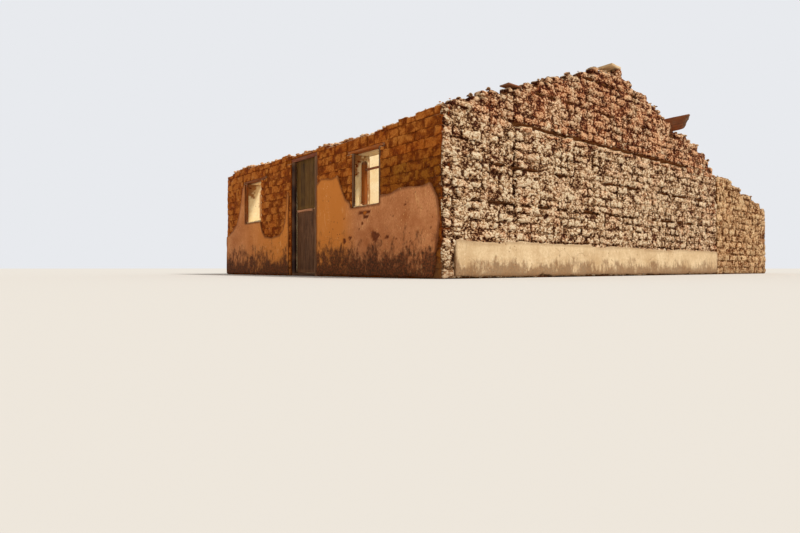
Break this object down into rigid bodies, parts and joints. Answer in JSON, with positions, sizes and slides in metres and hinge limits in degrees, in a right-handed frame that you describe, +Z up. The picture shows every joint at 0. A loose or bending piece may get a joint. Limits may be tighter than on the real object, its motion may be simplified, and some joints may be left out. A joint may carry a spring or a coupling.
{
  "type": "ruined adobe house",
  "caption": "Roofless ruin of a gabled adobe house with a split plank door, window openings, worn plaster, stepped wall tops and a lower back room.",
  "frame": {"origin": "ground level under the middle of the main house, on the underside of its earth floor", "axes": "+X to the right as seen from the front, +Y into the depth of the house, +Z up; the front faces -Y"},
  "size_m": [8.6236, 13.432, 4.3227],
  "materials": {
    "adobe_front": "sun-dried mud brick, orange brown, in the shade",
    "adobe_gable": "sun-dried mud brick, pale tan with brown joints, eroded",
    "adobe_back": "sun-dried mud brick, yellowish tan, eroded",
    "earth_floor": "beaten earth, dusty",
    "frame_wood": "weathered grey-brown timber",
    "lintel_wood": "weathered reddish brown timber",
    "beam_wood": "weathered dark red-brown timber with a broken end",
    "upper_leaf_wood": "board with worn olive green paint",
    "lower_leaf_wood": "board with worn brown paint",
    "rail_wood": "weathered pinkish timber",
    "ledge_wood": "bare old timber",
    "hinge_iron": "rusty wrought iron",
    "front_plaster": "ochre lime plaster, worn and stained",
    "inner_plaster": "cream limewashed plaster, worn",
    "side_plaster": "cream lime plaster, worn"
  },
  "bodies": {
    "house": {"front_wall_right": "adobe_front", "front_wall_left": "adobe_front", "front_wall_over_door": "adobe_front", "right_gable_wall": "adobe_gable", "left_gable_wall": "adobe_gable", "rear_wall_right": "adobe_front", "rear_wall_left": "adobe_front", "rear_wall_over_doorway": "adobe_front", "rear_doorway_lintel": "lintel_wood", "back_room_right_wall": "adobe_back", "back_room_left_wall": "adobe_back", "back_room_end_wall_right": "adobe_back", "back_room_end_wall_left": "adobe_back", "main_floor": "earth_floor", "back_room_floor": "earth_floor", "door_posts": "frame_wood", "door_head": "lintel_wood", "door_inner_lintel": "lintel_wood", "door_sill": "frame_wood", "door_hinge_pins": "hinge_iron", "right_window_lintel": "lintel_wood", "left_window_lintel": "lintel_wood", "right_window_jambs": "frame_wood", "left_window_jamb": "lintel_wood", "right_window_post_stump": "frame_wood", "right_window_bar": "frame_wood", "front_plaster_right": "front_plaster", "front_plaster_left": "front_plaster", "right_side_plaster": "side_plaster", "left_side_plaster": "side_plaster", "inner_plaster_right": "inner_plaster", "inner_plaster_left": "inner_plaster", "inner_plaster_front": "inner_plaster", "inner_plaster_rear": "inner_plaster", "roof_beam_stub": "beam_wood", "loose_gable_bricks": "adobe_gable", "gable_top_board": "frame_wood", "gable_top_slab": "side_plaster"},
    "lower_leaf": {"lower_leaf_boards": "lower_leaf_wood", "lower_leaf_ledges": "ledge_wood", "lower_leaf_straps": "hinge_iron", "lower_leaf_rail": "rail_wood"},
    "upper_leaf": {"upper_leaf_boards": "upper_leaf_wood", "upper_leaf_ledges": "ledge_wood", "upper_leaf_straps": "hinge_iron"}
  },
  "joints": [
    {"name": "lower_leaf_hinge", "type": "hinge", "parent": "house", "child": "lower_leaf", "pos_m": [-0.492, -4.776, 0.236], "axis": [0, 0, 1], "range_deg": [0, 95]},
    {"name": "upper_leaf_hinge", "type": "hinge", "parent": "house", "child": "upper_leaf", "pos_m": [-0.492, -4.776, 1.561], "axis": [0, 0, 1], "range_deg": [0, 95]}
  ]
}
